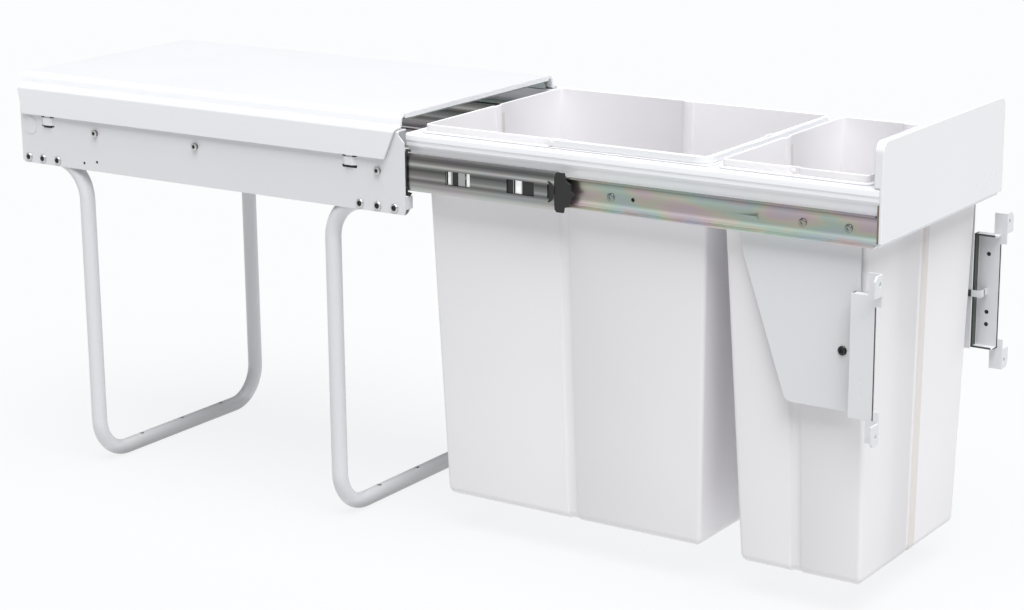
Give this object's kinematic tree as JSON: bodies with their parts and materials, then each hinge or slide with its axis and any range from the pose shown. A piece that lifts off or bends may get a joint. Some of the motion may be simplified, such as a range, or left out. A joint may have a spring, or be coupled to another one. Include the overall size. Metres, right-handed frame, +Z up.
{
  "type": "pull-out waste bin unit",
  "caption": "Pull-out waste bin unit for a kitchen base cabinet, pulled out: lidded housing on bent tube legs, ball-bearing slides, bin frame with a large and a small bin, door brackets.",
  "frame": {"origin": "centre of the floor-screw pattern, on the cabinet floor under the two legs", "axes": "+Z up; -Y to the front, the way the bins pull out; +X to the right seen from the front. Rest pose is pulled fully out, as pictured."},
  "size_m": [0.2972, 0.9915, 0.441],
  "materials": {
    "white_powder_coat": "smooth white powder coat on pressed steel",
    "grey_white_powder_coat": "smooth light grey-white powder coat on tube",
    "white_plastic": "glossy white moulded plastic",
    "bin_plastic": "satin warm white moulded plastic",
    "zinc_plate": "bright zinc plate with a faint rainbow tint",
    "cage_steel": "plain bright strip",
    "ball_steel": "polished",
    "screw_steel": "bright zinc plate",
    "dark_screw": "dark plated",
    "black_plastic": "matt black moulded plastic",
    "white_nylon": "natural white nylon"
  },
  "bodies": {
    "housing": {"left_side_plate": "white_powder_coat", "right_side_plate": "white_powder_coat", "top_lid": "white_plastic", "front_cross_rail": "zinc_plate", "rear_cross_rail": "zinc_plate", "front_leg": "grey_white_powder_coat", "rear_leg": "grey_white_powder_coat", "front_leg_screws": "screw_steel", "rear_leg_screws": "screw_steel", "left_outer_slide": "zinc_plate", "right_outer_slide": "zinc_plate", "left_outer_end_cap": "black_plastic", "right_outer_end_cap": "black_plastic"},
    "left_middle_section": {"left_middle_slide": "zinc_plate", "left_middle_buffer": "black_plastic"},
    "right_middle_section": {"right_middle_slide": "zinc_plate", "right_middle_buffer": "black_plastic"},
    "left_outer_ball_cage": {"left_outer_cage": "cage_steel", "left_outer_balls": "ball_steel"},
    "right_outer_ball_cage": {"right_outer_cage": "cage_steel", "right_outer_balls": "ball_steel"},
    "left_inner_ball_cage": {"left_inner_cage": "cage_steel", "left_inner_balls": "ball_steel"},
    "right_inner_ball_cage": {"right_inner_cage": "cage_steel", "right_inner_balls": "ball_steel"},
    "carriage": {"bin_frame": "white_plastic", "front_panel": "white_plastic", "left_inner_slide": "zinc_plate", "right_inner_slide": "zinc_plate", "left_stop_blocks": "white_nylon", "right_stop_blocks": "white_nylon", "left_frame_screws": "screw_steel", "right_frame_screws": "screw_steel", "left_side_bracket": "white_powder_coat", "right_side_bracket": "white_powder_coat", "left_door_bracket": "zinc_plate", "right_door_bracket": "zinc_plate", "clamp_screws": "dark_screw"},
    "large_bin_body": {"large_bin": "bin_plastic", "large_bin_handle": "white_plastic"},
    "small_bin_body": {"small_bin": "bin_plastic"}
  },
  "joints": [
    {"name": "carriage_slide", "type": "slide", "parent": "housing", "child": "carriage", "axis": [0, -1, 0], "range_m": [-0.474, 0]},
    {"name": "left_middle_slide_travel", "type": "slide", "parent": "housing", "child": "left_middle_section", "axis": [0, -1, 0], "range_m": [-0.1645, 0]},
    {"name": "left_outer_cage_travel", "type": "slide", "parent": "housing", "child": "left_outer_ball_cage", "axis": [0, -1, 0], "range_m": [-0.0825, 0]},
    {"name": "left_inner_cage_travel", "type": "slide", "parent": "housing", "child": "left_inner_ball_cage", "axis": [0, -1, 0], "range_m": [-0.3195, 0]},
    {"name": "right_middle_slide_travel", "type": "slide", "parent": "housing", "child": "right_middle_section", "axis": [0, -1, 0], "range_m": [-0.1645, 0]},
    {"name": "right_outer_cage_travel", "type": "slide", "parent": "housing", "child": "right_outer_ball_cage", "axis": [0, -1, 0], "range_m": [-0.0825, 0]},
    {"name": "right_inner_cage_travel", "type": "slide", "parent": "housing", "child": "right_inner_ball_cage", "axis": [0, -1, 0], "range_m": [-0.3195, 0]},
    {"name": "large_bin_lift", "type": "slide", "parent": "carriage", "child": "large_bin_body", "axis": [0, 0, 1], "range_m": [0, 0.4]},
    {"name": "small_bin_lift", "type": "slide", "parent": "carriage", "child": "small_bin_body", "axis": [0, 0, 1], "range_m": [0, 0.4]}
  ],
  "couplings": [
    {"joint": "left_middle_slide_travel", "follows": "carriage_slide", "ratio": 0.346},
    {"joint": "left_outer_cage_travel", "follows": "carriage_slide", "ratio": 0.173},
    {"joint": "left_inner_cage_travel", "follows": "carriage_slide", "ratio": 0.673},
    {"joint": "right_middle_slide_travel", "follows": "carriage_slide", "ratio": 0.346},
    {"joint": "right_outer_cage_travel", "follows": "carriage_slide", "ratio": 0.173},
    {"joint": "right_inner_cage_travel", "follows": "carriage_slide", "ratio": 0.673}
  ]
}
